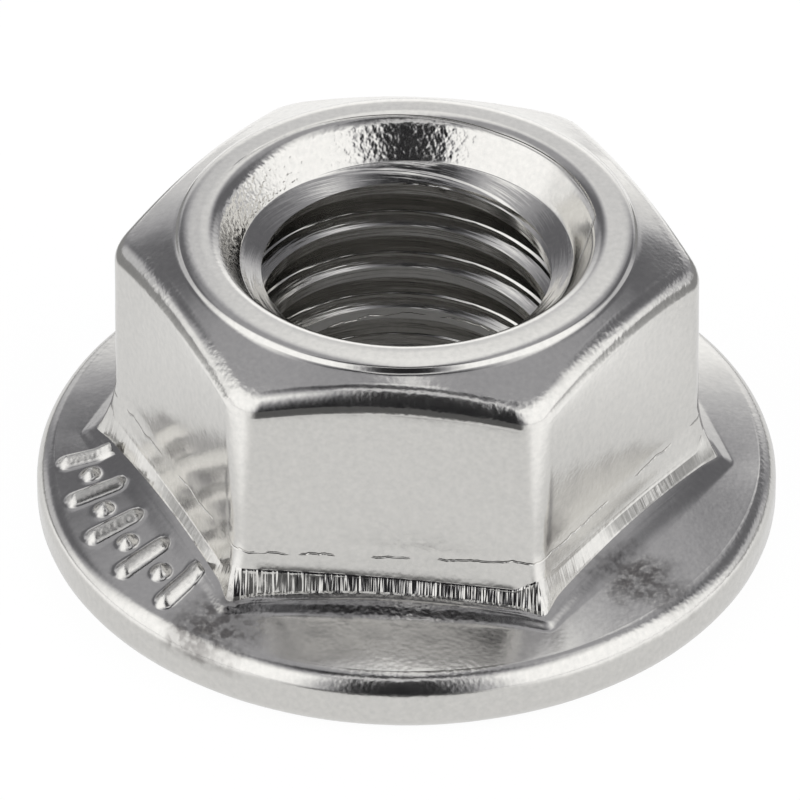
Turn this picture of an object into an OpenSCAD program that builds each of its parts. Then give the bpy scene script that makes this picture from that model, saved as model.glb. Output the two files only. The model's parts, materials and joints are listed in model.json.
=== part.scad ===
// Serrated flange nut, M10 coarse thread, cold forged from stainless steel.
// Millimetres. The bearing face lies on z = 0, the thread runs along +Z, and two flats face +Y and -Y.

/* [Thread] */
// Nominal diameter of the thread
thread_d = 10; // [8:0.5:10.5]
// Pitch of the thread
pitch = 1.5; // [1:0.25:1.75]
// Widest diameter of the countersink at the top
top_sink_d = 11; // [10.6:0.1:12]
// Included angle of the countersink at the top
top_sink_angle = 65; // [50:5:90]
// Diameter at which the countersink at the top gives way to the thread's lead-in
lead_in_d = 9.6; // [9.5:0.1:10]
// Included angle of the lead-in, which runs down to the thread like its flanks
lead_in_angle = 120; // [90:5:120]
// Widest diameter of the countersink in the bearing face
bottom_sink_d = 10.8; // [10.6:0.1:11.6]
// Included angle of the countersink in the bearing face
bottom_sink_angle = 90; // [80:5:120]

/* [Hexagon] */
// Width across the flats
across_flats = 15; // [14.6:0.1:16.5]
// Radius of the six upright corners
corner_r = 0.7; // [0.3:0.1:1.2]
// Height of the whole nut
nut_h = 10; // [8:0.5:13]

/* [Crown] */
// Slope of the crown, from level
crown_angle = 24; // [15:1:30]
// Radius of the rounded shoulder above each flat
shoulder_r = 0.8; // [0.3:0.05:0.9]
// Outer diameter of the raised ring round the hole
ring_d = 13.3; // [12.4:0.1:13.6]
// Height of the raised ring above the crown
ring_h = 0.22; // [0.15:0.01:0.4]
// Radius of the ring's outer edge
ring_edge_r = 0.18; // [0.1:0.01:0.2]
// Radius of the ring's inner edge, where it rolls into the countersink
ring_lip_r = 0.6; // [0.15:0.05:0.7]

/* [Foot] */
// Height of the foot's lip above the bearing face
lip_z = 3.2; // [3:0.05:4.2]
// How far the lip stands out from a flat
lip_out = 0.12; // [0.08:0.02:0.4]
// Radius of the hollow that leads from a flat to the lip
flare_r = 0.8; // [0.6:0.1:2.5]
// Slope of the sheared strip under the lip, from upright
strip_angle = 21; // [5:1:30]
// How far each claw reaches past its upright corner, at the flange
claw_out = 0.6; // [0.4:0.05:0.8]
// Radius of the hollow that leads an upright corner out to its claw
claw_r = 4; // [3:0.5:6]

/* [Flange] */
// Diameter of the flange
flange_d = 21.6; // [20.6:0.1:24]
// Slope of the flange's upper face, from level
flange_angle = 18; // [12:1:22]
// Radius of the rounded rim, above and below
rim_r = 0.7; // [0.4:0.05:0.75]
// Height of the upright band between the two roundings of the rim
rim_band = 0.5; // [0.2:0.1:0.9]

/* [Serrations] */
// Number of teeth under the flange
teeth = 24; // [16:1:36]
// Slope of each tooth's ramp
ramp_angle = 9; // [4:1:12]
// Width of the level crest of each tooth, as an angle round the nut
crest_angle = 2; // [1:0.5:4]
// Inner diameter of the serrated band
teeth_in_d = 12.6; // [12:0.2:15]
// Outer diameter of the serrated band
teeth_out_d = 19.8; // [18:0.2:20]

/* [Hidden] */
$fn = 96;

// Rounded shapes pass this far beyond a face that they would otherwise only touch
lap = 0.01;
// Cutting shapes run this far past what they cut
over = 1;

sides = 6;
corner_angle = 360 / sides;
half_corner = corner_angle / 2;
flat_a = across_flats / 2;
bore_r = (thread_d - 5 * sqrt(3) / 8 * pitch) / 2;
corner_centre = (flat_a - corner_r) / cos(half_corner);
corner_out = corner_centre + corner_r;

ring_outer = ring_d / 2;
ring_z = nut_h - ring_h;
reach = flange_d / 2 + over;

// Height of the conical crown at a distance from the axis
function crown_z(r) = ring_z - (r - ring_outer) * tan(crown_angle);

// The hexagon as a flat shape, its corners true arcs
module hexagon_outline() {
  arc_start = corner_centre + corner_r * cos(half_corner);
  intersection() {
    circle(r = flat_a / cos(half_corner), $fn = sides);
    intersection_for (pair = [0 : sides / 2 - 1])
      rotate(pair * corner_angle) {
        square([2 * arc_start, 2 * reach], center = true);
        for (end = [-1, 1])
          translate([end * corner_centre, 0])
            circle(r = corner_r + lap);
      }
  }
}

// A bar along X with the given section, turned to each of the three pairs of flats, and what all three share
module shared_by_flats() {
  intersection_for (pair = [0 : sides / 2 - 1])
    rotate([0, 0, pair * corner_angle])
      rotate([90, 0, 90])
        linear_extrude(height = 2 * reach, center = true)
          children();
}

// Section across two opposite flats, with a round shoulder at the top of each
module shoulder_section() {
  outer = flat_a + lap;
  centre = outer - shoulder_r;
  centre_z = crown_z(flat_a) - shoulder_r * tan(45 - crown_angle / 2) + lap;
  arc_end = centre + shoulder_r * sin(crown_angle);
  arc_end_z = centre_z + shoulder_r * cos(crown_angle);
  top = nut_h + over;
  right = [[outer, -over], [outer, centre_z], [arc_end, arc_end_z], [arc_end, top]];
  left = [for (i = [len(right) - 1 : -1 : 0]) [-right[i].x, right[i].y]];
  polygon(concat(right, left));
  for (side = [-1, 1])
    translate([side * centre, centre_z])
      circle(r = shoulder_r);
}

// The hexagonal body, up to its rounded shoulders
module hexagon() {
  intersection() {
    linear_extrude(height = nut_h + over)
      hexagon_outline();
    shared_by_flats()
      shoulder_section();
  }
}

// Section across two opposite sides of the foot: sheared strip, lip, and the hollow that leads up to the flat
module foot_section() {
  lip_a = flat_a + lip_out;
  waist = flat_a - 5 * lap;
  rise = sqrt(pow(flare_r, 2) - pow(flare_r - (lip_a - waist), 2));
  root_z = rim_r;
  root_a = lip_a + (lip_z - root_z) * tan(strip_angle);
  difference() {
    polygon([
      [-root_a, root_z], [root_a, root_z], [lip_a, lip_z], [lip_a, lip_z + rise],
      [-lip_a, lip_z + rise], [-lip_a, lip_z]
    ]);
    for (side = [-1, 1])
      translate([side * (waist + flare_r), lip_z + rise])
        circle(r = flare_r);
  }
}

// Round shape that trims the foot's corners, so that each upright corner runs out to a claw
module claw_trim() {
  waist = corner_out - 5 * lap;
  claw = corner_out + claw_out;
  flange_z = flange_top_z(claw);
  rise = sqrt(pow(claw_r, 2) - pow(claw_r - (claw - waist), 2));
  rotate_extrude()
    difference() {
      square([reach, flange_z + rise]);
      translate([waist + claw_r, flange_z + rise])
        circle(r = claw_r);
      translate([claw, 0])
        square([reach, flange_z - lap]);
    }
}

// The foot on which the hexagon stands
module foot() {
  intersection() {
    shared_by_flats()
      foot_section();
    claw_trim();
  }
}

rim_centre = flange_d / 2 - rim_r;
rim_top_z = rim_r + rim_band;
slope_start = rim_centre + rim_r * sin(flange_angle);
slope_start_z = rim_top_z + rim_r * cos(flange_angle);

// Height of the flange's sloping upper face at a distance from the axis
function flange_top_z(r) = slope_start_z + (slope_start - r) * tan(flange_angle);

// The round flange with its rounded rim
module flange() {
  rotate_extrude() {
    polygon([
      [0, 0], [rim_centre, 0], [flange_d / 2, rim_r], [flange_d / 2, rim_top_z],
      [slope_start, slope_start_z], [0, flange_top_z(0)]
    ]);
    for (z = [rim_r, rim_top_z])
      translate([rim_centre, z])
        circle(r = rim_r);
  }
}

// All that is turned true to the axis: crown, raised ring, countersinks, lead-in and bore
module turned_envelope() {
  top_half = top_sink_angle / 2;
  bottom_half = bottom_sink_angle / 2;
  top_sink = top_sink_d / 2;
  lead_in = lead_in_d / 2;
  bottom_sink = bottom_sink_d / 2;
  lead_in_z = nut_h - (top_sink - lead_in) / tan(top_half);
  top_bore_z = lead_in_z - (lead_in - bore_r) / tan(lead_in_angle / 2);
  bottom_bore_z = (bottom_sink - bore_r) / tan(bottom_half);
  lip_run = ring_lip_r * tan(45 - top_half / 2);
  edge_centre = ring_outer - ring_edge_r;
  rotate_extrude() {
    polygon([
      [bore_r, bottom_bore_z],
      [bottom_sink + over * tan(bottom_half), -over],
      [reach, -over],
      [reach, crown_z(reach)],
      [ring_outer, ring_z],
      [ring_outer, nut_h - ring_edge_r],
      [edge_centre, nut_h],
      [top_sink + lip_run, nut_h],
      [top_sink - lip_run * sin(top_half), nut_h - lip_run * cos(top_half)],
      [lead_in, lead_in_z],
      [bore_r, top_bore_z]
    ]);
    translate([edge_centre, nut_h - ring_edge_r])
      circle(r = ring_edge_r);
    translate([top_sink + lip_run, nut_h - ring_lip_r])
      circle(r = ring_lip_r);
  }
}

// One pocket between two teeth: a ramp that rises from the bearing face to the next tooth's steep wall
module pocket() {
  span = 360 / teeth - crest_angle;
  wall = reach * [cos(span), -sin(span)];
  inner = teeth_in_d / 4;
  intersection() {
    translate([0, 0, -over])
      linear_extrude(height = nut_h)
        polygon([[inner, 0], inner * [cos(span), -sin(span)], wall, [reach, 0]]);
    rotate([-ramp_angle, 0, 0])
      translate([-over, -reach, -reach])
        cube([reach + 2 * over, reach + over, reach]);
    difference() {
      translate([0, 0, -over])
        cylinder(h = teeth_out_d / 2, r1 = teeth_out_d / 2 + over, r2 = over);
      translate([0, 0, -2 * over])
        cylinder(h = nut_h, d = teeth_in_d);
    }
  }
}

// The pockets between the teeth, all round the bearing face
module serrations() {
  for (tooth = [0 : teeth - 1])
    rotate([0, 0, tooth * 360 / teeth])
      pocket();
}

// The whole nut, one solid
module flange_nut() {
  color("silver")
    difference() {
      intersection() {
        union() {
          hexagon();
          foot();
          flange();
        }
        turned_envelope();
      }
      serrations();
    }
}

flange_nut();
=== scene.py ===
import json
import math

import bmesh
import bpy
import numpy as np
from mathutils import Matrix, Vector


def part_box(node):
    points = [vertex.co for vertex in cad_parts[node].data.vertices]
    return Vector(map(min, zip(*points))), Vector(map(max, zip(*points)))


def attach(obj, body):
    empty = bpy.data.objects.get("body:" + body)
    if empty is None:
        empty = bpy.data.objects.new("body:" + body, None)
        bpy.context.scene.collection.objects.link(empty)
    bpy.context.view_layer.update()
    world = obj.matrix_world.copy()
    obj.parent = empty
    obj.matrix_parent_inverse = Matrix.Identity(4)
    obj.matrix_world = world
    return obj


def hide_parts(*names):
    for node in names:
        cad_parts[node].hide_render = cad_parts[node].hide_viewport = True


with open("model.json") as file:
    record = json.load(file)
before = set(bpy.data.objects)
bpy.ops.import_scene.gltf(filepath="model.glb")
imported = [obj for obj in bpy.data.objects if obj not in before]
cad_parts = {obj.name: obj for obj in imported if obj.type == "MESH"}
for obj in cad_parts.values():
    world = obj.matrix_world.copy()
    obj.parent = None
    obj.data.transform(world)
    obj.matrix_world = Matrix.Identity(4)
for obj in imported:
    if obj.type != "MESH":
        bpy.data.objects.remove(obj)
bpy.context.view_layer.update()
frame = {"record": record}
scene = bpy.context.scene


# View. The nut is seen from above and in front, a little from the right of its front flat, through a long
# lens. All sizes below are in millimetres and become Blender's metres through mm.
mm = 0.001
view_azimuth, view_elevation = math.radians(4.3), math.radians(37.26)
view_distance = 300 * mm
aim_height, aim_left = 3.784 * mm, 0.190 * mm
film_width, lens_length = 36, 464.5
nearest_seen, farthest_seen = 10 * mm, 20000 * mm

to_right = Vector((math.cos(view_azimuth), math.sin(view_azimuth), 0))
to_camera = Vector((
    math.sin(view_azimuth) * math.cos(view_elevation),
    -math.cos(view_azimuth) * math.cos(view_elevation),
    math.sin(view_elevation),
))
aim = Vector((0, 0, aim_height)) - to_right * aim_left

camera = bpy.data.objects.new("camera", bpy.data.cameras.new("camera"))
camera.data.sensor_width = film_width
camera.data.lens = lens_length
camera.data.clip_start = nearest_seen
camera.data.clip_end = farthest_seen
camera.location = aim + to_camera * view_distance
camera.rotation_euler = (camera.location - aim).to_track_quat("Z", "Y").to_euler()
scene.collection.objects.link(camera)
scene.camera = camera


# Bench. A smooth white table top, matt, on which the nut stands with its teeth down. In the nut's mirror the
# top glows with painted light and shade: a little greyer than the camera sees it, painted brighter at the
# sides and behind once away from the nut, painted darker far off to the sides behind, and painted nearly
# black in front, in the gap that is left for the camera.
bench_half, shadow_share = 600 * mm, 0.12
seen_white, mirrored_white, painted_gap_shade = 1.07, 0.87, 0.93
painted_beside_glow, painted_behind_glow, painted_sidelong_shade, painted_hole_glow = 0.45, 0.35, 0.6, 0.08
gap_edge, gap_sides = (-19.5 * mm, -21.5 * mm), (0.5, 0.3)
beside_turn, beside_reach = math.radians(25), (math.radians(42), math.radians(22))
behind_width, behind_edge = 1.8, (0, 6 * mm)
sidelong_edge, beyond_edge, far_edge = (-2 * mm, 4 * mm), (13 * mm, 19 * mm), (21 * mm, 27 * mm)
# Within this reach of the axis the top gets painted shade, and under the hole a faint painted glow of light.
painted_shade_reach, hole_edge = 8 * mm, (5.4 * mm, 4.6 * mm)


def linear(hex_colour):
    """The linear value of an sRGB colour written as hex, with full cover as its fourth number."""
    parts = [int(hex_colour[i:i + 2], 16) / 255 for i in (0, 2, 4)]
    return [p / 12.92 if p <= 0.04045 else ((p + 0.055) / 1.055) ** 2.4 for p in parts] + [1.0]


def add(tree, kind, settings=None, feeds=None):
    """Adds a node. settings are its properties, feeds its inputs by name or number: a value or a socket."""
    node = tree.nodes.new(kind)
    for name, value in (settings or {}).items():
        setattr(node, name, value)
    for key, value in (feeds or {}).items():
        if isinstance(value, bpy.types.NodeSocket):
            tree.links.new(value, node.inputs[key])
        else:
            node.inputs[key].default_value = value
    return node


# Operations beside plain arithmetic, with the inputs that their parts feed. A soft step is zero before the
# first bound and one past the second. Blotches are noise between 0 and 1.
more_operations = {
    "SOFT STEP": ("ShaderNodeMapRange", {"interpolation_type": "SMOOTHSTEP"},
                  ("Value", "From Min", "From Max")),
    "BLOTCHES": ("ShaderNodeTexNoise", {}, ("Vector", "Scale", "Detail", "Roughness")),
    "PLACE": ("ShaderNodeCombineXYZ", {}, ("X", "Y", "Z")),
}


def work_out(tree, formula, known):
    """A formula is a number, the name of a known value, or an operation followed by what it works on."""
    if isinstance(formula, str):
        return known[formula]
    if not isinstance(formula, tuple):
        return formula
    values = [work_out(tree, part, known) for part in formula[1:]]
    if formula[0] in more_operations:
        kind, settings, inputs = more_operations[formula[0]]
        return add(tree, kind, settings, dict(zip(inputs, values))).outputs[0]
    return add(tree, "ShaderNodeMath", {"operation": formula[0]}, dict(enumerate(values))).outputs[0]


def work_through(tree, known, steps):
    """Works out one named formula after another, each of which may use the ones before it."""
    for name, formula in steps:
        known[name] = work_out(tree, formula, known)


bench_mesh = bpy.data.meshes.new("bench")
bench_corners = [(-1, -1), (1, -1), (1, 1), (-1, 1)]
bench_mesh.from_pydata([(x * bench_half, y * bench_half, 0) for x, y in bench_corners], [], [(0, 1, 2, 3)])
bench = bpy.data.objects.new("bench", bench_mesh)
scene.collection.objects.link(bench)

white_top = bpy.data.materials.new("matt white table top with painted light and shade")
white_top.use_nodes = True
tree = white_top.node_tree
tree.nodes.clear()
place = add(tree, "ShaderNodeTexCoord").outputs["Object"]
parts = add(tree, "ShaderNodeSeparateXYZ", feeds={0: place})
rays = add(tree, "ShaderNodeLightPath").outputs
known = {
    "x": parts.outputs["X"], "y": parts.outputs["Y"], "camera": rays["Is Camera Ray"],
    "glossy": rays["Is Glossy Ray"], "through glass": rays["Is Transmission Ray"],
    "away": add(tree, "ShaderNodeVectorMath", {"operation": "LENGTH"}, {0: place}).outputs["Value"],
}
work_through(tree, known, (
    ("mirrored", ("MAXIMUM", "glossy", "through glass")),
    # The mirrored glow is painted: a painted dark gap in front, painted light beside and behind, painted
    # shade far off sideways behind.
    ("in front", ("SOFT STEP", "y", *gap_edge)),
    ("sideways", ("DIVIDE", ("ABSOLUTE", "x"), ("ABSOLUTE", "y"))),
    ("gap", ("MULTIPLY", "in front", ("SOFT STEP", "sideways", *gap_sides))),
    ("off beside", ("ABSOLUTE", ("ADD", ("ARCTAN2", "y", ("ABSOLUTE", "x")), beside_turn))),
    ("beside", ("SOFT STEP", "off beside", *beside_reach)),
    ("behind", ("SOFT STEP", ("SUBTRACT", "y", ("MULTIPLY", behind_width, ("ABSOLUTE", "x"))), *behind_edge)),
    ("sidelong", ("MULTIPLY", ("SUBTRACT", 1.0, "behind"), ("SOFT STEP", "y", *sidelong_edge))),
    ("beyond", ("SOFT STEP", "away", *beyond_edge)),
    ("far", ("SOFT STEP", "away", *far_edge)),
    ("brighter", ("MULTIPLY", "beyond",
                  ("ADD", ("MULTIPLY", painted_beside_glow, "beside"), ("MULTIPLY", painted_behind_glow, "behind")))),
    ("dimmer", ("MULTIPLY", ("MULTIPLY", painted_sidelong_shade, "sidelong"), "far")),
    ("mirrored white", ("MULTIPLY", ("SUBTRACT", ("ADD", mirrored_white, "brighter"), "dimmer"),
                        ("SUBTRACT", 1.0, ("MULTIPLY", painted_gap_shade, "gap")))),
    ("white", ("ADD", ("MULTIPLY", seen_white, "camera"), ("MULTIPLY", "mirrored", "mirrored white"))),
    # Painted shade: no glow within 8 mm of the axis, under the nut, except a faint painted glow of light
    # under the hole.
    ("through hole", ("SOFT STEP", "away", *hole_edge)),
    ("open", ("MAXIMUM", ("GREATER_THAN", "away", painted_shade_reach), ("MULTIPLY", painted_hole_glow, "through hole"))),
    ("lit", ("MULTIPLY", ("MAXIMUM", "camera", "mirrored"), "open")),
    ("glow share", ("MULTIPLY", "lit", 1 - shadow_share)),
))
paint = add(tree, "ShaderNodeBsdfDiffuse", feeds={"Color": linear("E6E6E6")})
glow = add(tree, "ShaderNodeEmission", feeds={"Color": linear("FFFFFF"), "Strength": known["white"]})
top_mix = add(tree, "ShaderNodeMixShader",
              feeds={0: known["glow share"], 1: paint.outputs[0], 2: glow.outputs[0]})
add(tree, "ShaderNodeOutputMaterial", feeds={"Surface": top_mix.outputs[0]})
bench_mesh.materials.append(white_top)


# Nut blank. The nut is cold forged from stainless bar in one blow after another, then tapped. The blank here
# is the turned form that fits inside it: rings of points from the countersink over crown, foot and flange,
# under the bearing face and back up the bore. Each ring says how the forging after it moves its points.
nut_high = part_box("flange_nut")[1]
nut_h = nut_high.z / mm
flange_r = nut_high.x / mm
bore_r = next(m["dims"]["r_mm"] for m in frame["record"]["mounts"] if m["name"] == "thread")

flat_a, round_corner_r = 7.5, 1.15
crown_degrees, flange_degrees, strip_degrees = 24, 18, 21
ring_foot_r, ring_h, ring_sag = 6.65, 0.22, 0.03
sink_r, sink_half, lead_in_r, lead_in_half = 5.5, math.radians(32.5), 4.8, math.radians(60)
roll_r, shoulder_r, draft = 0.6, 0.8, 0.03
lip_z, land_h, ledge, lip_round = 3.16, 0.08, 0.17, 0.006
hollow_top, hollow_r, hollow_slope = 4.38, 3.0, math.radians(8.5)
hollow_mid, lip_slope = 3.5, math.radians(10.8)
claw_r, claw_out, claw_z = 4.0, 0.6, 2.26
bite_run, bite_depth = 0.6, 0.08
rim_r, rim_band = 0.7, 0.5
bottom_sink_r = 5.4
teeth, tooth_in_r, tooth_out_r = 24, 6.3, 9.9
tooth_crest, tooth_ramp = math.radians(2), math.radians(9)
pitch, major_r = 1.5, 5.0
crest_z, crest_turn = 8.30, math.radians(90)

# Corner radii are shares of the distance of the flats from the axis. They shrink from flat to claw.
round_corner, hollow_corner, lip_corner, claw_corner = round_corner_r / flat_a, 0.13, 0.06, 0.03

crown_slope, flange_slope = math.radians(crown_degrees), math.radians(flange_degrees)
strip_slope = math.radians(strip_degrees)
tan_crown, tan_flange, tan_strip = (math.tan(a) for a in (crown_slope, flange_slope, strip_slope))
half_corner = math.pi / 6
ring_z = nut_h - ring_h
slope_start = flange_r - rim_r + rim_r * math.sin(flange_slope)
slope_start_z = rim_r + rim_band + rim_r * math.cos(flange_slope)


def crown_z(r):
    return ring_z - (r - ring_foot_r) * tan_crown


def flange_z(r):
    return slope_start_z + (slope_start - r) * tan_flange


def line(start, end, steps):
    """Points from start to end, without the last one."""
    return [tuple(a + (b - a) * i / steps for a, b in zip(start, end)) for i in range(steps)]


def arc(centre, radius, first, last, steps):
    """Points round an arc between two angles in degrees, without the last one."""
    turns = (math.radians(first + (last - first) * i / steps) for i in range(steps))
    return [(centre[0] + radius * math.cos(t), centre[1] + radius * math.sin(t)) for t in turns]


# A ring of the blank has a radius, a height and these values, which the forging steps and the steel read: its
# share of the hexagon's form, how far it sinks for each millimetre that it moves out, its corner radius, how
# far the claw moves its corners, and how much it takes of foot, shear, teeth, marks, dents and orange peel.
fields = ("share", "drop", "corner", "claw", "foot", "shear", "bearing", "mark", "dent", "peel")


def rings(profile, **values):
    """Rings along a profile. Each value is one number, or the first and the last of an even row of them."""
    steps = len(profile)
    made = []
    for i, place in enumerate(profile):
        here = {"corner": round_corner}
        for name, value in values.items():
            if isinstance(value, tuple):
                value = value[0] + (value[1] - value[0]) * i / steps
            here[name] = value
        made.append((*place, *(here.get(name, 0.0) for name in fields)))
    return made


def clawed(band):
    """Sets how far each ring's corners move so that they run out along the hollow of the claws."""
    made = []
    claw_top = claw_z + math.sqrt(claw_r ** 2 - (claw_r - claw_out) ** 2)
    round_out = flat_a * ((1 - round_corner) / math.cos(half_corner) + round_corner)
    for ring in band:
        values = dict(zip(fields, ring[2:]))
        corner_out = ring[0] * ((1 - values["corner"]) / math.cos(half_corner) + values["corner"])
        corner_z = ring[1] - values["drop"] * (corner_out - ring[0])
        fall = min(max(claw_top - corner_z, 0), claw_r)
        values["claw"] = (round_out + claw_r - math.sqrt(claw_r ** 2 - fall ** 2) - corner_out) * mm
        made.append((*ring[:2], *(values[name] for name in fields)))
    return made


# The mouth of the hole: the tapped lead-in, the countersink with a small roll between the two, and the large
# roll that leads up to the raised ring. The steps of the lead-in's edge go out and up from the corner there,
# and those of the ring's edge go in from the ring's foot and down from its top.
lead_in_run = math.tan(lead_in_half)
lead_in_z = nut_h - (sink_r - lead_in_r) / math.tan(sink_half)
bore_top = lead_in_z - (lead_in_r - bore_r) / lead_in_run
below_lead_in = (0.12, 0.09, 0.06, 0.03)
lead_in_edge = ((-0.03 * lead_in_run, -0.03), (-0.01, 0.002),
                (0.01, 0.025), (0.05 * math.tan(sink_half), 0.05))
edge_points = [(lead_in_r + out, lead_in_z + up) for out, up in lead_in_edge]
roll_centre = (sink_r + roll_r * math.tan((math.pi / 2 - sink_half) / 2), nut_h - roll_r)
roll_start = math.pi - sink_half
roll_foot = (roll_centre[0] + roll_r * math.cos(roll_start), roll_centre[1] + roll_r * math.sin(roll_start))
ring_edge_steps = ((0.40, 0.03), (0.28, 0.045), (0.18, 0.072), (0.11, 0.098),
                   (0.085, 0.12), (0.05, 0.16), (0.02, 0.20), (-0.005, 0.224))

lead_in = rings([(bore_r, bore_top - drop) for drop in below_lead_in]
                + line((bore_r, bore_top), edge_points[0], steps=5))
sink = rings(edge_points[:3] + line(edge_points[3], roll_foot, steps=8), dent=0.6, peel=1.0)
roll = rings(arc(roll_centre, roll_r, math.degrees(roll_start), 90, steps=10), dent=0.3, peel=(1.0, 0.2))
ring_top_out = ring_foot_r - ring_edge_steps[0][0]
ring_top = rings(line((roll_centre[0], nut_h), (ring_top_out, nut_h - ring_sag), steps=3), dent=0.2, peel=0.2)
ring_edge = rings([(ring_foot_r - out, nut_h - down) for out, down in ring_edge_steps], dent=0.3, peel=0.4)

# The outside: crown, round shoulder, flat, the hollow at its foot, the sheared strip with a burr below it,
# and the flange's slope and rim.
crown_start_r = ring_foot_r + 0.05
shoulder_flat = flat_a - draft
shoulder_start_r = shoulder_flat - shoulder_r * (1 - math.sin(crown_slope))
shoulder_z = crown_z(shoulder_start_r) - shoulder_r * math.cos(crown_slope)
shoulder_start, rim_start = 90 - crown_degrees, 90 - flange_degrees
hollow_out = hollow_r * (1 - math.cos(hollow_slope))
hollow_end = hollow_top - hollow_r * math.sin(hollow_slope)
hollow_steps = 4
mid_a = flat_a + hollow_out + (hollow_end - hollow_mid) * math.tan(hollow_slope)
hollow_foot = lip_z + land_h + 0.02
lip_a = mid_a + (hollow_mid - hollow_foot) * math.tan(lip_slope) + lip_round
foot_a = ((lip_a + (lip_z - slope_start_z - slope_start * tan_flange) * tan_strip)
          / (1 - tan_flange * tan_strip))
foot_z = flange_z(foot_a)
ledge_end = foot_a + ledge
burr_step = (0.02, -0.006)
past_ledge = 0.04
crown_start = (crown_start_r, crown_z(crown_start_r))
crown_end = (shoulder_start_r, crown_z(shoulder_start_r))

crown = rings(line(crown_start, crown_end, steps=6),
              share=(0.1, 1.0), drop=tan_crown, dent=1.0, peel=(0.4, 0.7))
shoulder = rings(arc((shoulder_flat - shoulder_r, shoulder_z), shoulder_r, shoulder_start, 0, steps=10),
                 share=1.0, drop=tan_crown, dent=1.0, peel=(1.6, 1.2))
flat = rings(line((shoulder_flat, shoulder_z), (flat_a, hollow_top), steps=14),
             share=1.0, drop=(tan_crown, 0.0), foot=(0.0, 1.0), dent=1.0, peel=0.3)
hollow_turns = [hollow_slope * i / hollow_steps for i in range(hollow_steps)]
hollow = rings([(flat_a + hollow_r * (1 - math.cos(t)), hollow_top - hollow_r * math.sin(t))
                for t in hollow_turns]
               + [(flat_a + hollow_out, hollow_end), (mid_a, hollow_mid),
                  (lip_a - lip_round, hollow_foot), (lip_a, lip_z + land_h)],
               share=1.0, corner=(hollow_corner, lip_corner), foot=1.0, dent=0.3, peel=0.4)
strip = rings(line((lip_a, lip_z), (foot_a, foot_z), steps=8),
              share=1.0, drop=(0.0, tan_flange), corner=(lip_corner, claw_corner),
              foot=1.0, shear=1.0, peel=0.3)
burr = rings([(foot_a, foot_z), (foot_a + burr_step[0], foot_z + burr_step[1]),
              (ledge_end, foot_z - ledge * tan_flange)],
             share=1.0, drop=tan_flange, corner=claw_corner, foot=1.0, shear=(0.45, -0.3))


def sunk_z(r):
    """The flange's slope, a little sunk where the die bit in beside the foot."""
    in_bite = min((r - ledge_end) / bite_run, 1.0)
    recovered = min(max((r - ledge_end - bite_run) / (slope_start - ledge_end - bite_run), 0.0), 1.0)
    return flange_z(r) - bite_depth * (3 * in_bite ** 2 - 2 * in_bite ** 3) * (1 - recovered)


slope = rings([(r, sunk_z(r)) for r, _ in line((ledge_end + past_ledge, 0), (slope_start, 0), steps=25)],
              share=(0.97, 0.0), drop=tan_flange, corner=(0.02, 0.1),
              foot=(0.8, 0.0), mark=1.0, dent=0.6, peel=0.35)
rim_centre = flange_r - rim_r
rim = rings(arc((rim_centre, rim_r + rim_band), rim_r, rim_start, 0, steps=8)
            + line((flange_r, rim_r + rim_band), (flange_r, rim_r), steps=3)
            + arc((rim_centre, rim_r), rim_r, 0, -90, steps=7), dent=0.7, peel=(1.2, 0.2))

# The bearing face, with rings close together where the teeth end, and the lower countersink.
outer_run, inner_wall = 0.4, 0.06
under = rings(line((tooth_out_r, 0), (tooth_out_r - outer_run, 0), steps=4)
              + line((tooth_out_r - outer_run, 0), (tooth_in_r + inner_wall, 0), steps=8)
              + [(tooth_in_r + inner_wall, 0)], bearing=1.0)
sunk_steps = (0.0, 0.1, 0.3)
under_in = rings([(tooth_in_r, 0)] + [(bottom_sink_r - step, step) for step in sunk_steps])


def forged_turns(count):
    """Angles of the columns round the nut, closer together at the six corners."""
    crowding = 0.5
    sector = math.tau / 6
    steps = [i * 6 / count for i in range(count // 6)]
    return [sector * (k + u - crowding * math.sin(math.tau * u) / math.tau) for k in range(6) for u in steps]


def toothed_turns():
    """Angles of the columns under the nut: two on each crest, then a steep wall and a ramp."""
    tooth = math.tau / teeth
    crest_end = tooth_crest * 0.97
    down_ramp = (0, 0.006, 0.12, 0.25, 0.4, 0.55, 0.7, 0.85)
    steps = [0, tooth_crest / 2] + [crest_end + (tooth - tooth_crest) * u for u in down_ramp]
    return [k * tooth + step for k in range(teeth) for step in steps]


hole_columns, rim_columns, side_columns, foot_columns = 240, 360, 720, 1440
upper_flat, lower_flat = flat[:-4], flat[-4:]
even = [math.tau * i / hole_columns for i in range(hole_columns)]
bands = [
    (even, lead_in + sink + roll + ring_top + ring_edge),
    (forged_turns(side_columns), crown + shoulder + upper_flat + clawed(lower_flat)),
    (forged_turns(foot_columns), clawed(hollow + strip + burr)),
    (forged_turns(side_columns), slope),
    (forged_turns(rim_columns), rim),
    (toothed_turns(), under),
    (even, under_in),
]

points, faces, marks = [], [], []


def add_ring(turns, ring):
    """Adds a ring of points at the given angles, with the ring's values, and returns their numbers."""
    first = len(points)
    for turn in turns:
        points.append((ring[0] * math.cos(turn), ring[0] * math.sin(turn), ring[1]))
        marks.append((turn, *ring[2:]))
    return [first + i for i in range(len(turns))]


def sew(upper, upper_turns, lower, lower_turns):
    """Joins two rings of points with quads where they match, and with triangles where they don't."""
    n, m = len(upper), len(lower)
    if upper_turns == lower_turns:
        for i in range(n):
            j = (i + 1) % n
            faces.append((upper[i], lower[i], lower[j], upper[j]))
        return
    i = k = 0
    while i < n or k < m:
        next_upper = upper_turns[(i + 1) % n] + (math.tau if i + 1 >= n else 0)
        next_lower = lower_turns[(k + 1) % m] + (math.tau if k + 1 >= m else 0)
        if k >= m or (i < n and next_upper <= next_lower):
            faces.append((upper[i % n], lower[k % m], upper[(i + 1) % n]))
            i += 1
        else:
            faces.append((upper[i % n], lower[k % m], lower[(k + 1) % m]))
            k += 1


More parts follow.
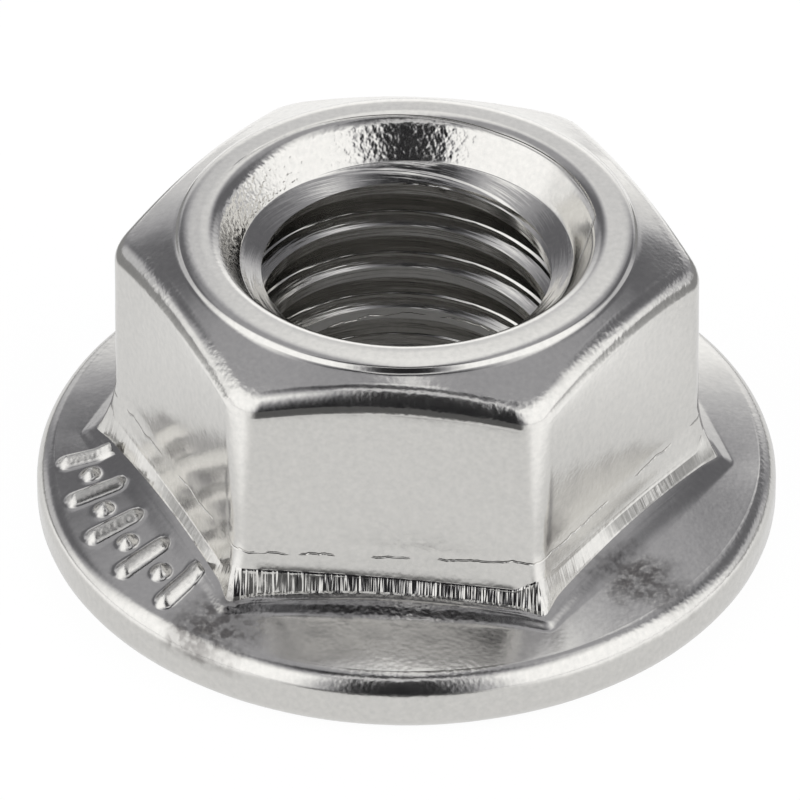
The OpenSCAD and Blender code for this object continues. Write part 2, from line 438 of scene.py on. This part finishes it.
last = None
for turns, band in bands:
    for ring in band:
        now = add_ring(turns, ring)
        if last:
            sew(last[0], last[1], now, turns)
        last = (now, turns)

# The bore's rings climb with the thread, so that every turn of it has points along its edges. At both ends
# they are cut off level, and points that fall together there are merged.
bore_low, bore_high = under_in[-1][1], lead_in[0][1]
half_root, half_crest = pitch / 16, pitch / 8
flank_steps = (0.16, 0.32)
turns_of_rings, turns_below = 9, 7
merge_distance = 0.0005 * mm


def bore_wall(z):
    """Radius of the plain bore with its lead-in and lower countersink."""
    return max(bore_r, lead_in_r + (z - lead_in_z) * lead_in_run, bottom_sink_r - z)


in_pitch = ([0, half_crest] + [half_crest + step for step in flank_steps]
            + [pitch / 2 - half_root, pitch / 2 + half_root]
            + [pitch - half_crest - step for step in reversed(flank_steps)] + [pitch - half_crest])
start_z = crest_z - pitch * crest_turn / math.tau - pitch * turns_below
heights = [start_z + pitch * k + offset for k in range(turns_of_rings) for offset in in_pitch]
bore = []
for height in heights:
    first = len(points)
    for turn in even:
        z = min(max(height + pitch * turn / math.tau, bore_low), bore_high)
        r = bore_wall(z)
        points.append((r * math.cos(turn), r * math.sin(turn), z))
        marks.append((turn,) + (0.0,) * len(fields))
    bore.append([first + i for i in range(len(even))])
for j in range(len(bore) - 1):
    turn_up = j + len(in_pitch)
    for i in range(len(even)):
        if i + 1 < len(even):
            faces.append((bore[j][i], bore[j + 1][i], bore[j + 1][i + 1], bore[j][i + 1]))
        elif turn_up + 1 < len(bore):
            faces.append((bore[j][i], bore[j + 1][i], bore[turn_up + 1][0], bore[turn_up][0]))

blank_mesh = bpy.data.meshes.new("nut blank")
blank_mesh.from_pydata([tuple(c * mm for c in p) for p in points], [], faces)
for index, name in enumerate(("turn",) + fields):
    values = blank_mesh.attributes.new(name, "FLOAT", "POINT")
    values.data.foreach_set("value", np.array([m[index] for m in marks], np.float32))
blank = bmesh.new()
blank.from_mesh(blank_mesh)
bmesh.ops.remove_doubles(blank, verts=blank.verts, dist=merge_distance)
blank.to_mesh(blank_mesh)
blank.free()
nut = bpy.data.objects.new("nut", blank_mesh)
scene.collection.objects.link(nut)


# Steel. Stainless steel that was tumbled bright after forging: nearly a mirror, with fine orange peel in
# patches, coarser pits in the mouth of the hole and the tap's fine lines along the thread.
# Pale and grey steel are the ground's own tones; the dark grey is painted shade for the hammered patches.
pale_steel, grey_steel, painted_patch_shade_grey = "E3E1DD", "CDCCC9", "7C7977"
mirror_dull, coarse_dull, peel_dull, struck_dull = 0.08, 0.08, 0.06, 0.28
grain = 0.55


def per(size):
    """Scale of a pattern whose blotches are about this many millimetres apart."""
    return 1 / (size * mm)


# Distance along the side of the hexagon, with each side far from the next so that no two sides are torn
# alike. The front side is torn roughest.
side_gap, other_sides = 20 * mm, 0.16
front_reach = math.cos(half_corner)
along_side = (
    ("side", ("FLOOR", ("DIVIDE", "turn", 2 * half_corner))),
    ("in side", ("SUBTRACT", "turn", ("MULTIPLY", "side", 2 * half_corner))),
    ("from middle of side", ("SUBTRACT", "in side", half_corner)),
    ("along", ("ADD", ("MULTIPLY", "r", ("SINE", "from middle of side")), ("MULTIPLY", "side", side_gap))),
    ("at front", ("GREATER_THAN", ("MULTIPLY", "y", -1.0), ("MULTIPLY", "r", front_reach))),
    ("rough", ("ADD", other_sides, ("MULTIPLY", 1 - other_sides, "at front"))),
)

tumbled_steel = bpy.data.materials.new("tumbled stainless steel")
tumbled_steel.use_nodes = True
tree = tumbled_steel.node_tree
steel = tree.nodes["Principled BSDF"]
steel.inputs["Metallic"].default_value = 1.0

place = add(tree, "ShaderNodeTexCoord").outputs["Object"]
parts = add(tree, "ShaderNodeSeparateXYZ", feeds={0: place})
known = {axis.lower(): parts.outputs[axis] for axis in "XYZ"}
known["place"] = place
for name in ("peel", "shear", "struck"):
    known[name] = add(tree, "ShaderNodeAttribute", {"attribute_name": name}).outputs["Fac"]

# Orange peel lies in patches a few millimetres wide, between smoother ground. It is coarsest on the flange at
# the left front, at the right and along the foot in front, where the colour is also painted darker, as
# painted shade for the dark that the flange mirrors there. Each of those three has its middle, its half
# widths and how much of it is covered.
slope_low, slope_high = (1.0 * mm, 1.4 * mm), (2.72 * mm, 2.58 * mm)
peel_coarse, peel_fine, hammer_depth = 0.005 * mm, 0.004 * mm, 0.008 * mm
thin_peel, patch_edge, hammered_edge = 0.3, (0.42, 0.62), (1.1, 0.25)
hammered_patches = (
    ((7.1, -5.8), (1.7, 1.4), 1.0),
    ((-4.8, -8.7), (1.8, 1.5), 1.0),
    ((0.3, -8.25), (3.3, 0.6), 0.5),
)
work_through(tree, known, (
    ("r", ("SQRT", ("ADD", ("MULTIPLY", "x", "x"), ("MULTIPLY", "y", "y")))),
    ("turn", ("ARCTAN2", "y", "x")),
    ("patch", ("SOFT STEP", ("BLOTCHES", "place", per(3.2), 1.0, grain), *patch_edge)),
    ("ragged", ("BLOTCHES", "place", per(0.7), 2.0, grain)),
    ("coarse", ("BLOTCHES", "place", per(0.30), 1.5, grain)),
    ("fine", ("BLOTCHES", "place", per(0.12), 0.5, grain)),
    ("on slope", ("MULTIPLY", ("SOFT STEP", "z", *slope_low), ("SOFT STEP", "z", *slope_high))),
))
known["hammered"] = 0.0
for middles, halves, cover in hammered_patches:
    off_middle = [("POWER", ("DIVIDE", ("SUBTRACT", axis, middle * mm), half * mm), 2.0)
                  for axis, middle, half in zip("xy", middles, halves)]
    work_through(tree, known, (
        ("off patch", ("ADD", ("SQRT", ("ADD", *off_middle)), ("SUBTRACT", "ragged", 0.5))),
        ("in patch", ("MULTIPLY", cover, ("SOFT STEP", "off patch", *hammered_edge))),
        ("hammered", ("MAXIMUM", "hammered", "in patch")),
    ))
work_through(tree, known, (
    ("hammered", ("MULTIPLY", "hammered", "on slope")),
    ("cover", ("MULTIPLY", "peel", ("ADD", thin_peel, "patch"))),
    ("grown", ("ADD", ("MULTIPLY", peel_coarse, "coarse"), ("MULTIPLY", peel_fine, "fine"))),
    ("beaten", ("MULTIPLY", ("MULTIPLY", hammer_depth, "hammered"), "fine")),
    ("peel height", ("ADD", ("MULTIPLY", "cover", "grown"), "beaten")),
))

# The mouth of the hole kept the pits of the forging at its left and back, where the countersink didn't reach
# them.
pit_depth, pitted_lean, pitted_edge = 0.03 * mm, 0.75, (-0.2 * mm, 3.2 * mm)
mouth_inner, mouth_outer, mouth_low = (4.78 * mm, 4.9 * mm), (5.5 * mm, 5.3 * mm), (8.8 * mm, 8.95 * mm)
work_through(tree, known, (
    ("in mouth", ("MULTIPLY", ("SOFT STEP", "r", *mouth_inner),
                  ("MULTIPLY", ("SOFT STEP", "r", *mouth_outer), ("SOFT STEP", "z", *mouth_low)))),
    ("left and back", ("SOFT STEP", ("SUBTRACT", ("MULTIPLY", "y", pitted_lean), "x"), *pitted_edge)),
    ("pits", ("BLOTCHES", "place", per(0.17), 0.8, grain)),
    ("pit height", ("MULTIPLY", ("MULTIPLY", "in mouth", "left and back"), ("MULTIPLY", pit_depth, "pits"))),
))

# The tap's lines follow the thread, so they are drawn across the climb of its helix, and change a little on
# the way round it. One deeper score runs along the upper flank.
line_depth, score_depth, change_round = 0.014 * mm, 0.012 * mm, 0.12 * mm
score_at, score_half, scored_parts = 0.83 * mm, 0.05 * mm, (0.35, 0.6)
thread_high, thread_outer = (lead_in_z * mm, (lead_in_z - 0.02) * mm), (5.3 * mm, 5.1 * mm)
work_through(tree, known, (
    ("in thread", ("MULTIPLY", ("SOFT STEP", "z", *thread_high), ("SOFT STEP", "r", *thread_outer))),
    ("climbed", ("SUBTRACT", "z", ("MULTIPLY", pitch * mm / math.tau, "turn"))),
    ("across", ("FLOORED_MODULO", "climbed", pitch * mm)),
    ("helix", ("PLACE", "across", ("MULTIPLY", change_round, ("COSINE", "turn")),
               ("MULTIPLY", change_round, ("SINE", "turn")))),
    ("lines", ("BLOTCHES", "helix", per(0.10), 3.0, grain)),
    ("from score", ("ABSOLUTE", ("SUBTRACT", "across", score_at))),
    ("score parts", ("SOFT STEP", ("BLOTCHES", "helix", per(0.25), 1.0, grain), *scored_parts)),
    ("scored", ("MULTIPLY", ("SOFT STEP", "from score", score_half, 0.0), "score parts")),
    ("line height", ("MULTIPLY", "in thread", ("SUBTRACT", ("MULTIPLY", line_depth, "lines"),
                                               ("MULTIPLY", score_depth, "scored")))),
))

# The sheared strip has fine upright lines between its deeper grooves.
tear_depth, upright_stretch = 0.038 * mm, 0.07
work_through(tree, known, along_side + (
    ("upright", ("PLACE", "along", ("MULTIPLY", upright_stretch, "z"))),
    ("torn", ("BLOTCHES", "upright", per(0.10), 1.0, grain)),
    ("tear height", ("MULTIPLY", ("MULTIPLY", "rough", "shear"), ("MULTIPLY", tear_depth, "torn"))),
))

# A lap seam runs round the back of the ring's inner edge, moves out towards the left and turns into the hole
# at the right. Its angles are in degrees.
seam_depth, seam_r, seam_half, seam_clean = 0.05 * mm, 5.46 * mm, 0.045 * mm, 0.01 * mm
seam_moves_out, moves_out_from = 0.0042 * mm, 65.0
seam_turns_in, turns_in_from = 0.037 * mm, 12.0
seam_right, seam_left, seam_low = (-2, 1), (158, 138), (9.0 * mm, 9.2 * mm)
work_through(tree, known, (
    ("degrees", ("MULTIPLY", "turn", 180 / math.pi)),
    ("moved out", ("MULTIPLY", seam_moves_out, ("MAXIMUM", 0.0, ("SUBTRACT", "degrees", moves_out_from)))),
    ("turned in", ("MULTIPLY", seam_turns_in, ("MAXIMUM", 0.0, ("SUBTRACT", turns_in_from, "degrees")))),
    ("seam r", ("SUBTRACT", ("ADD", seam_r, "moved out"), "turned in")),
    ("off seam", ("ABSOLUTE", ("SUBTRACT", "r", "seam r"))),
    ("seam part", ("MULTIPLY", ("SOFT STEP", "degrees", *seam_right), ("SOFT STEP", "degrees", *seam_left))),
    ("seam", ("MULTIPLY", ("MULTIPLY", ("SOFT STEP", "off seam", seam_half, seam_clean), "seam part"),
              ("SOFT STEP", "z", *seam_low))),
))

# Thin folds lie above the lip of the foot, where the steel was pushed down from the flats. They wander a
# little and break off.
fold_depth, fold_z, fold_wander, folded_parts = 0.02 * mm, 3.80 * mm, 0.4 * mm, (0.44, 0.56)
fold_half, fold_clean, claws_start = 0.04 * mm, 0.005 * mm, (9.2 * mm, 8.8 * mm)
work_through(tree, known, (
    ("stretch", ("PLACE", "along")),
    ("wander", ("MULTIPLY", fold_wander, ("SUBTRACT", ("BLOTCHES", "stretch", per(0.9), 3.0, grain), 0.5))),
    ("broken", ("SOFT STEP", ("BLOTCHES", "stretch", per(1.6), 1.0, grain), *folded_parts)),
    ("off fold", ("ABSOLUTE", ("SUBTRACT", ("SUBTRACT", "z", fold_z), "wander"))),
    ("fold", ("MULTIPLY", ("SOFT STEP", "off fold", fold_half, fold_clean),
              ("MULTIPLY", "broken", ("SOFT STEP", "r", *claws_start)))),
    ("crease height", ("ADD", ("MULTIPLY", -seam_depth, "seam"), ("MULTIPLY", -fold_depth, "fold"))),
))

# All of that is one relief. The peel, and more so the struck marks, are duller than the ground, and the
# hammered patches are painted dark grey as painted shade, less so on their highest grains.
struck_depth = 0.014 * mm
patch_shade_share, patch_shade_grains, grain_tops = 0.45, 0.5, (0.62, 0.40)
work_through(tree, known, (
    ("struck height", ("MULTIPLY", struck_depth, ("MULTIPLY", "struck", "fine"))),
    ("height", ("ADD", ("ADD", ("ADD", "peel height", "tear height"), ("ADD", "pit height", "line height")),
                ("ADD", "crease height", "struck height"))),
    ("peel dull", ("MULTIPLY", peel_dull, ("MINIMUM", "cover", 1.0))),
    ("dull", ("ADD", mirror_dull, ("ADD", ("MULTIPLY", coarse_dull, "coarse"),
                                   ("ADD", "peel dull", ("MULTIPLY", struck_dull, "struck"))))),
    ("clouds", ("BLOTCHES", "place", per(0.17), 3.0, grain)),
    ("patch shade", ("MULTIPLY", "hammered",
              ("ADD", patch_shade_share, ("MULTIPLY", patch_shade_grains, ("SOFT STEP", "coarse", *grain_tops))))),
))
relief = add(tree, "ShaderNodeBump", feeds={"Height": known["height"], "Strength": 1.0, "Distance": 1.0})
ground = add(tree, "ShaderNodeMix", {"data_type": "RGBA"},
             {"Factor": known["clouds"], "A": linear(grey_steel), "B": linear(pale_steel)})
# Painted shade: the hammered patches' colour goes towards the dark grey.
patch_shaded = add(tree, "ShaderNodeMix", {"data_type": "RGBA"},
              {"Factor": known["patch shade"], "A": ground.outputs["Result"], "B": linear(painted_patch_shade_grey)})
tree.links.new(relief.outputs[0], steel.inputs["Normal"])
tree.links.new(known["dull"], steel.inputs["Roughness"])
tree.links.new(patch_shaded.outputs["Result"], steel.inputs["Base Color"])


# Forging. One blow presses six flats on the shank, sinks the crown and the flange's slope with them and
# leaves rounded upright corners that run out to claws on the flange. The foot came out a little shifted and
# tilted along each side.
def shaping_tree(name, sizes, read):
    """A geometry tree with named sizes as inputs, and the points' own values that its rule reads."""
    tree = bpy.data.node_groups.new(name, "GeometryNodeTree")
    tree.interface.new_socket("Geometry", in_out="INPUT", socket_type="NodeSocketGeometry")
    tree.interface.new_socket("Geometry", in_out="OUTPUT", socket_type="NodeSocketGeometry")
    for size in sizes:
        tree.interface.new_socket(size, in_out="INPUT", socket_type="NodeSocketFloat")
    known = {socket.name: socket for socket in add(tree, "NodeGroupInput").outputs if socket.name}
    for field in read:
        value = add(tree, "GeometryNodeInputNamedAttribute", {"data_type": "FLOAT"}, {"Name": field})
        known[field] = value.outputs[0]
    known["place"] = add(tree, "GeometryNodeInputPosition").outputs[0]
    parts = add(tree, "ShaderNodeSeparateXYZ", feeds={0: known["place"]})
    for axis in "XYZ":
        known[axis.lower()] = parts.outputs[axis]
    known["r"] = work_out(tree, ("SQRT", ("ADD", ("MULTIPLY", "x", "x"), ("MULTIPLY", "y", "y"))), known)
    return tree, known


def at(new_r, new_z):
    """Formula of a point's place when it keeps its turn and gets a new radius and height."""
    return "PLACE", ("MULTIPLY", new_r, ("COSINE", "turn")), ("MULTIPLY", new_r, ("SINE", "turn")), new_z


def close_tree(tree, known, **moves):
    """Moves the points to a Position or by an Offset, then realizes them and gives them the steel."""
    moved = add(tree, "GeometryNodeSetPosition", feeds={"Geometry": known["Geometry"], **moves})
    real = add(tree, "GeometryNodeRealizeInstances", feeds={0: moved.outputs[0]})
    steel_set = add(tree, "GeometryNodeSetMaterial",
                    feeds={"Geometry": real.outputs[0], "Material": tumbled_steel})
    add(tree, "NodeGroupOutput", feeds={0: steel_set.outputs[0]})


def shape(piece, tree, sizes):
    """Hangs the tree on the piece with its sizes set."""
    step = piece.modifiers.new(tree.name, "NODES")
    step.node_group = tree
    for socket in tree.interface.items_tree:
        if socket.name in sizes:
            step[socket.identifier] = sizes[socket.name]


half = "Half a corner's turn"
forging_sizes = {
    half: half_corner, "Claw width": math.radians(5), "Foot shift": 0.1 * mm, "Foot tilt": -0.09 * mm,
    "Flange fall": tan_flange,
}
forging_reads = ["turn", "share", "drop", "corner", "claw", "foot"]
tree, known = shaping_tree("forge hexagon", forging_sizes, forging_reads)
work_through(tree, known, (
    ("from corner", ("PINGPONG", "turn", half)),
    ("on flat", ("DIVIDE", 1.0, ("COSINE", ("SUBTRACT", half, "from corner")))),
    ("centre", ("DIVIDE", ("SUBTRACT", 1.0, "corner"), ("COSINE", half))),
    ("sideways", ("MULTIPLY", "centre", ("SINE", "from corner"))),
    ("rest", ("MAXIMUM", 0.0, ("SUBTRACT", ("POWER", "corner", 2.0), ("POWER", "sideways", 2.0)))),
    ("on arc", ("ADD", ("MULTIPLY", "centre", ("COSINE", "from corner")), ("SQRT", "rest"))),
    ("arc end", ("ARCTAN2", ("MULTIPLY", "corner", ("SINE", half)),
                 ("ADD", "centre", ("MULTIPLY", "corner", ("COSINE", half))))),
    ("is arc", ("LESS_THAN", "from corner", "arc end")),
    ("outline", ("ADD", "on flat", ("MULTIPLY", "is arc", ("SUBTRACT", "on arc", "on flat")))),
    ("growth", ("MULTIPLY", "share", ("SUBTRACT", "outline", 1.0))),
    ("near corner", ("MAXIMUM", 0.0, ("SUBTRACT", 1.0, ("DIVIDE", "from corner", "Claw width")))),
    ("in claw", ("MULTIPLY", ("POWER", "near corner", 2.0),
                 ("SUBTRACT", 3.0, ("MULTIPLY", 2.0, "near corner")))),
    ("clear of claw", ("MULTIPLY", "foot", ("SUBTRACT", 1.0, "in claw"))),
    ("along side", ("DIVIDE", ("SUBTRACT", ("FLOORED_MODULO", "turn", ("MULTIPLY", 2.0, half)), half), half)),
    ("shifted", ("MULTIPLY", ("MULTIPLY", "Foot shift", ("SINE", "turn")), "clear of claw")),
    ("above foot", ("MAXIMUM", 0.0, ("SUBTRACT", 1.0, ("DIVIDE", "drop", "Flange fall")))),
    ("tilted", ("MULTIPLY", ("MULTIPLY", "Foot tilt", ("POWER", ("ADD", 1.0, "along side"), 2.0)),
                ("MULTIPLY", "clear of claw", "above foot"))),
    ("forged r", ("ADD", ("MULTIPLY", "r", ("ADD", 1.0, "growth")),
                  ("ADD", "shifted", ("MULTIPLY", "claw", "in claw")))),
    ("forged z", ("SUBTRACT", ("ADD", "z", "tilted"), ("MULTIPLY", "drop", ("SUBTRACT", "forged r", "r")))),
))
close_tree(tree, known, Position=work_out(tree, at("forged r", "forged z"), known))
shape(nut, tree, forging_sizes)


# Thread. A right-hand metric thread of 60 degrees, cut with a tap through the plain bore of the forging, and
# here cut outwards from it. Its crests keep the bore's radius, and it runs out into both countersinks.
thread_sizes = {
    "Pitch": pitch * mm, "Crest radius": bore_r * mm, "Root radius": major_r * mm,
    "Groove height at turn 0": (crest_z - pitch / 2 - pitch * crest_turn / math.tau) * mm,
    "Half root": half_root * mm, "Flank run": math.tan(math.radians(60)), "Run-out": 8.0,
    "Lead-in height": bore_top * mm, "Lower end": bore_low * mm,
}
tree, known = shaping_tree("tap thread", thread_sizes, ["turn"])
work_through(tree, known, (
    ("climb", ("MULTIPLY", "Pitch", ("DIVIDE", "turn", math.tau))),
    ("up", ("SUBTRACT", ("SUBTRACT", "z", "Groove height at turn 0"), "climb")),
    ("from groove", ("PINGPONG", "up", ("DIVIDE", "Pitch", 2.0))),
    ("flank", ("SUBTRACT", "Root radius",
               ("MULTIPLY", "Flank run", ("SUBTRACT", "from groove", "Half root")))),
    ("to end", ("MINIMUM", ("SUBTRACT", "Lead-in height", "z"), ("SUBTRACT", "z", "Lower end"))),
    ("limit", ("ADD", "r", ("MULTIPLY", "Run-out", "to end"))),
    ("thread r", ("MINIMUM", ("MINIMUM", "Root radius", "limit"), ("MAXIMUM", "flank", "Crest radius"))),
    ("tapped r", ("MAXIMUM", "r", "thread r")),
))
close_tree(tree, known, Position=work_out(tree, at("tapped r", "z"), known))
shape(nut, tree, thread_sizes)


# Serrations. Ratchet teeth that the die pressed into the bearing face, all of one piece with it: ramps that
# end in a steep wall and a level crest, so that the nut turns on easily and bites when it turns back.
tooth_sizes = {
    "Teeth": float(teeth), "Ramp": math.tan(tooth_ramp), "Crest angle": tooth_crest,
    "Inner radius": tooth_in_r * mm, "Outer radius": tooth_out_r * mm, "Inner steepness": 20.0,
}
tree, known = shaping_tree("press serrations", tooth_sizes, ["turn", "bearing"])
work_through(tree, known, (
    ("tooth angle", ("DIVIDE", math.tau, "Teeth")),
    ("in tooth", ("FLOORED_MODULO", "turn", "tooth angle")),
    ("to crest", ("MAXIMUM", 0.0, ("SUBTRACT", "tooth angle", "in tooth"))),
    ("in pocket", ("GREATER_THAN", "in tooth", ("MULTIPLY", "Crest angle", 0.99))),
    ("ramp height", ("MULTIPLY", ("MULTIPLY", "r", ("SINE", "to crest")), "Ramp")),
    ("inner wall", ("MULTIPLY", "Inner steepness", ("MAXIMUM", 0.0, ("SUBTRACT", "r", "Inner radius")))),
    ("outer run", ("MAXIMUM", 0.0, ("SUBTRACT", "Outer radius", "r"))),
    ("pocket", ("MINIMUM", "ramp height", ("MINIMUM", "inner wall", "outer run"))),
    ("lift", ("MULTIPLY", "bearing", ("MULTIPLY", "in pocket", "pocket"))),
    ("lifted z", ("ADD", "z", "lift")),
))
close_tree(tree, known, Position=work_out(tree, at("r", "lifted z"), known))
shape(nut, tree, tooth_sizes)


# Sheared strip. The die trimmed the foot below its lip, so this strip of the bare steel is torn into upright
# grooves, each a bit different from the next and wandering a little on its way down.
shear_sizes = {"Groove width": 0.17 * mm, "Groove depth": 0.058 * mm, "Slant": 0.03, "Wander": 1.2 * mm}
tree, known = shaping_tree("shear foot", shear_sizes, ["turn", "shear"])
work_through(tree, known, along_side + (
    ("across grooves", ("DIVIDE", ("ADD", "along", ("MULTIPLY", "z", "Slant")), "Groove width")),
    ("in grooves", ("PLACE", "across grooves", ("DIVIDE", "z", "Wander"))),
    ("torn", ("BLOTCHES", "in grooves", 1.0, 1.0, 0.6)),
    ("cut", ("MULTIPLY", ("MULTIPLY", ("MULTIPLY", "Groove depth", "rough"), "shear"),
             ("SUBTRACT", "torn", 0.5))),
    ("torn r", ("ADD", "r", ("MULTIPLY", 2.0, "cut"))),
))
close_tree(tree, known, Position=work_out(tree, at("torn r", "z"), known))
shape(nut, tree, shear_sizes)


# Raised marks. Plain bars with a dot between each two, of one piece with the flange and struck on it with the
# forging, in a row round its left front. Bars and dots are equally wide and round on top.
mark_sizes = {
    "First": math.radians(188), "Last": math.radians(230), "Spacing": math.radians(10.5), "Middle": 9.3 * mm,
    "Half length": 0.62 * mm, "Half width": 0.36 * mm, "Height": 0.26 * mm,
}
tree, known = shaping_tree("strike marks", mark_sizes, ["turn", "mark"])
work_through(tree, known, (
    ("half spacing", ("DIVIDE", "Spacing", 2.0)),
    ("row end", ("DIVIDE", "Spacing", 4.0)),
    ("beside bar", ("MULTIPLY", "Middle", ("PINGPONG", ("SUBTRACT", "turn", "First"), "half spacing"))),
    ("beside dot", ("SUBTRACT", ("MULTIPLY", "Middle", "half spacing"), "beside bar")),
    ("from middle", ("SUBTRACT", "r", "Middle")),
    ("past bar", ("MAXIMUM", 0.0, ("SUBTRACT", ("ABSOLUTE", "from middle"), "Half length"))),
    ("to bar", ("SQRT", ("ADD", ("POWER", "beside bar", 2.0), ("POWER", "past bar", 2.0)))),
    ("to dot", ("SQRT", ("ADD", ("POWER", "beside dot", 2.0), ("POWER", "from middle", 2.0)))),
    ("in bar", ("SUBTRACT", 1.0, ("MINIMUM", 1.0, ("DIVIDE", "to bar", "Half width")))),
    ("in dot", ("SUBTRACT", 1.0, ("MINIMUM", 1.0, ("DIVIDE", "to dot", "Half width")))),
    ("in mark", ("MAXIMUM", "in bar", "in dot")),
    ("rounded", ("SUBTRACT", 0.5, ("MULTIPLY", 0.5, ("COSINE", ("MULTIPLY", "in mark", math.pi))))),
    ("in row", ("MULTIPLY", ("GREATER_THAN", "turn", ("SUBTRACT", "First", "row end")),
                ("LESS_THAN", "turn", ("ADD", "Last", "row end")))),
    ("struck", ("MULTIPLY", "mark", ("MULTIPLY", "rounded", "in row"))),
    ("raised z", ("ADD", "z", ("MULTIPLY", "Height", "struck"))),
))
stored = add(tree, "GeometryNodeStoreNamedAttribute", {"data_type": "FLOAT", "domain": "POINT"},
             {"Geometry": known["Geometry"], "Name": "struck", "Value": known["struck"]})
known["Geometry"] = stored.outputs[0]
close_tree(tree, known, Position=work_out(tree, at("r", "raised z"), known))
shape(nut, tree, mark_sizes)


# Dents. The forgings were tumbled together in a drum, and knocks from one another left their broad faces
# gently uneven, in dents a few millimetres wide with smaller ones between them.
dent_sizes = {
    "Broad dents": 2.6 * mm, "Broad depth": 0.035 * mm, "Small dents": 0.9 * mm, "Small depth": 0.010 * mm,
}
inward = 0.8
tree, known = shaping_tree("tumble", dent_sizes, ["turn", "dent"])
known["depth"] = 0.0
for width, depth in (("Broad dents", "Broad depth"), ("Small dents", "Small depth")):
    work_through(tree, known, (
        ("uneven", ("BLOTCHES", "place", ("DIVIDE", 1.0, width), 1.0)),
        ("depth", ("ADD", "depth", ("MULTIPLY", depth, ("SUBTRACT", "uneven", inward)))),
    ))
work_through(tree, known, (("push", ("MULTIPLY", "depth", "dent")),))
push = add(tree, "ShaderNodeVectorMath", {"operation": "SCALE"},
           {0: add(tree, "GeometryNodeInputNormal").outputs[0], "Scale": known["push"]})
close_tree(tree, known, Offset=push.outputs[0])
shape(nut, tree, dent_sizes)

# The finished nut, as one plain mesh. It keeps only the values that the steel reads.
sharp_from = math.radians(40)
graph = bpy.context.evaluated_depsgraph_get()
finished = bpy.data.meshes.new_from_object(nut.evaluated_get(graph))
nut.modifiers.clear()
nut.data = finished
finished.name = "nut"
for name in ("turn",) + fields:
    if name not in ("peel", "shear"):
        finished.attributes.remove(finished.attributes[name])
finished.shade_smooth()
finished.set_sharp_from_angle(angle=sharp_from)

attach(nut, "root")
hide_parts("flange_nut")


# Light. A tent of white cloth over the bench, with a gap in front for the camera and a dark roof. Directions
# are degrees: turn from the front to the right, to back from the back to either side, and height above the
# bench. Each cloth has its strength and its edges, as a value, where it ends and where it is in full.
cloths = {
    "dim tent all round": (0.02, ()),
    "light wall at the left": (
        1.30, (("turn", -10, -32), ("turn", -118, -84), ("height", -4, 4), ("height", 78, 46))),
    "light wall at the right": (
        1.30, (("turn", 16, 40), ("turn", 118, 88), ("height", -4, 4), ("height", 82, 48))),
    "strip high over the camera": (
        0.80, (("turn", -44, -26), ("turn", 44, 26), ("height", 63, 68), ("height", 79, 76))),
    "low panels at both back corners": (
        0.50, (("to back", 86, 74), ("to back", 36, 50), ("height", -5, 1), ("height", 24, 12))),
    "pale back half": (0.15, (("to back", 100, 70), ("y", -0.04, 0.06))),
    "back wall": (0.65, (("to back", 30, 6), ("height", -1, 4))),
    "low panel at the back": (0.50, (("to back", 44, 24), ("height", -5, 1), ("height", 26, 16))),
    "back of the roof, without its right end": (
        0.27, (("y", -0.04, 0.08), ("x", 0.68, 0.38), ("height", 34, 50))),
}
dim_white, bright_white = "F2F2FC", "FFFFFF"

world = bpy.data.worlds.new("light tent")
scene.world = world
world.use_nodes = True
tree = world.node_tree
tree.nodes.clear()
toward = add(tree, "ShaderNodeSeparateXYZ", feeds={0: add(tree, "ShaderNodeTexCoord").outputs["Generated"]})
known = {axis.lower(): toward.outputs[axis] for axis in "XYZ"}
known["light"] = 0.0
in_degrees = 180 / math.pi
work_through(tree, known, (
    ("turn", ("MULTIPLY", ("ARCTAN2", "x", ("MULTIPLY", "y", -1.0)), in_degrees)),
    ("height", ("MULTIPLY", ("ARCSINE", "z"), in_degrees)),
    ("to back", ("SUBTRACT", 180.0, ("ABSOLUTE", "turn"))),
))
for strength, edges in cloths.values():
    cover = 1.0
    for value, out, full in edges:
        cover = ("MULTIPLY", cover, ("SOFT STEP", value, out, full))
    work_through(tree, known, (("light", ("ADD", "light", ("MULTIPLY", strength, cover))),))

white = add(tree, "ShaderNodeMix", {"data_type": "RGBA"},
           {"Factor": known["light"], "A": linear(dim_white), "B": linear(bright_white)})
tent = add(tree, "ShaderNodeBackground", feeds={"Color": white.outputs["Result"], "Strength": known["light"]})
plain = add(tree, "ShaderNodeBackground", feeds={"Color": linear("FFFFFF"), "Strength": 1.0})
camera_ray = add(tree, "ShaderNodeLightPath").outputs["Is Camera Ray"]
choice = add(tree, "ShaderNodeMixShader", feeds={0: camera_ray, 1: tent.outputs[0], 2: plain.outputs[0]})
add(tree, "ShaderNodeOutputWorld", feeds={"Surface": choice.outputs[0]})

scene.view_settings.view_transform = "Standard"
